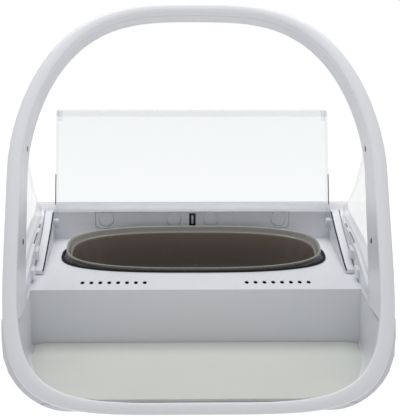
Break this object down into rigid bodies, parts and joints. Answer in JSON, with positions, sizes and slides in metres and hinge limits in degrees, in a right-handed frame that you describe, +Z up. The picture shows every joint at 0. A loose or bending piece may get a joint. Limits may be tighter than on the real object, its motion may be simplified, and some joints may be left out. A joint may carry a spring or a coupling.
{
  "type": "automatic pet feeder",
  "caption": "Low pet feeder with a leaning hoop in front, an oval bowl in a raised deck, a clear hinged lid driven by a small motor, clear side guards and a flat mat inside the hoop.",
  "frame": {"origin": "on the floor under the middle of the feeder, level with the bottom of its feet", "axes": "+Y from the hoop towards the rear housing, +X to the right seen from the hoop, +Z up"},
  "size_m": [0.23, 0.327, 0.22],
  "materials": {
    "white_shell": "smooth white moulded plastic with a soft gloss",
    "panel_grey": "pale grey moulded plastic",
    "button_grey": "mid grey matt key tops",
    "clear_plastic": "clear moulded plastic with polished faces",
    "bowl_taupe": "dark taupe plastic, glossy inside",
    "seal_rubber": "black soft rubber",
    "foot_rubber": "dark grey rubber",
    "mat_grey": "pale grey-green flexible plastic with a fine grain",
    "dark_window": "near-black glossy filter plastic",
    "screen_black": "matt black plastic",
    "steel": "plain steel",
    "motor_can": "drawn steel can",
    "gearbox_plastic": "dark grey engineering plastic",
    "gear_plastic": "off-white gear plastic",
    "coil_copper": "enamelled copper winding",
    "cell_wrap": "plain dark cell wrap with no print",
    "contact_plate": "nickel-plated spring strip",
    "board_green": "green lacquered board",
    "buzzer_black": "black plastic can",
    "light_green": "small green lens"
  },
  "bodies": {
    "root": {"antenna_coil": "coil_copper", "base_screw_1": "steel", "base_screw_2": "steel", "base_screw_3": "steel", "base_screw_4": "steel", "base_tray": "white_shell", "buzzer": "buzzer_black", "cell_left_front": "cell_wrap", "cell_left_rear": "cell_wrap", "cell_right_front": "cell_wrap", "cell_right_rear": "cell_wrap", "circuit_board": "board_green", "contact_left_inner": "contact_plate", "contact_left_outer": "contact_plate", "contact_right_inner": "contact_plate", "contact_right_outer": "contact_plate", "control_panel": "panel_grey", "foot_1": "foot_rubber", "foot_2": "foot_rubber", "foot_3": "foot_rubber", "foot_4": "foot_rubber", "gearbox": "gearbox_plastic", "hoop_band": "white_shell", "hoop_trim": "white_shell", "lid_sensor": "dark_window", "light_window_left_high": "dark_window", "light_window_left_low": "dark_window", "light_window_right_high": "dark_window", "light_window_right_low": "dark_window", "motor": "motor_can", "side_guard_left": "clear_plastic", "side_guard_right": "clear_plastic", "side_rail_left": "white_shell", "side_rail_right": "white_shell", "status_light": "light_green", "upper_housing": "white_shell", "vent_screen_left": "screen_black", "vent_screen_right": "screen_black", "wall_plate": "white_shell", "wall_plug_1": "white_shell", "wall_plug_2": "white_shell", "wall_plug_3": "white_shell", "wall_plug_4": "white_shell", "well_seal": "seal_rubber"},
    "lid": {"lid_panel": "clear_plastic", "lid_pin_left": "white_shell", "lid_pin_right": "white_shell", "lid_gear": "gear_plastic"},
    "pinion": {"drive_pinion": "gear_plastic"},
    "bowl": {"bowl": "bowl_taupe"},
    "mat": {"mat": "mat_grey"},
    "button_pair": {"button_pair": "button_grey"},
    "button_open": {"button_open": "button_grey"},
    "button_train": {"button_train": "button_grey"},
    "battery_cover_left": {"battery_cover_left": "white_shell"},
    "battery_cover_right": {"battery_cover_right": "white_shell"}
  },
  "joints": [
    {"name": "lid_hinge", "type": "hinge", "parent": "root", "child": "lid", "pos_m": [0, 0.066, 0.0565], "axis": [-1, 0, 0], "range_deg": [-118.5, 0]},
    {"name": "pinion_turn", "type": "hinge", "parent": "root", "child": "pinion", "pos_m": [0.109, 0.07808, 0.0548], "axis": [-1, 0, 0], "range_deg": [0, 143]},
    {"name": "bowl_lift", "type": "slide", "parent": "root", "child": "bowl", "axis": [0, 0, 1], "range_m": [0, 0.12]},
    {"name": "mat_slide", "type": "slide", "parent": "root", "child": "mat", "axis": [0, -0.829, 0.5592], "range_m": [0, 0.13]},
    {"name": "button_pair_press", "type": "slide", "parent": "root", "child": "button_pair", "axis": [0, -0.2442, -0.9697], "range_m": [0, 0.0012], "stiffness_N_per_m": 300},
    {"name": "button_open_press", "type": "slide", "parent": "root", "child": "button_open", "axis": [0, -0.2442, -0.9697], "range_m": [0, 0.0012], "stiffness_N_per_m": 300},
    {"name": "button_train_press", "type": "slide", "parent": "root", "child": "button_train", "axis": [0, -0.2442, -0.9697], "range_m": [0, 0.0012], "stiffness_N_per_m": 300},
    {"name": "battery_cover_left_slide", "type": "slide", "parent": "root", "child": "battery_cover_left", "axis": [0, 1, 0], "range_m": [0, 0.07]},
    {"name": "battery_cover_right_slide", "type": "slide", "parent": "root", "child": "battery_cover_right", "axis": [0, 1, 0], "range_m": [0, 0.07]}
  ],
  "couplings": [
    {"joint": "pinion_turn", "follows": "lid_hinge", "ratio": -1.2}
  ]
}
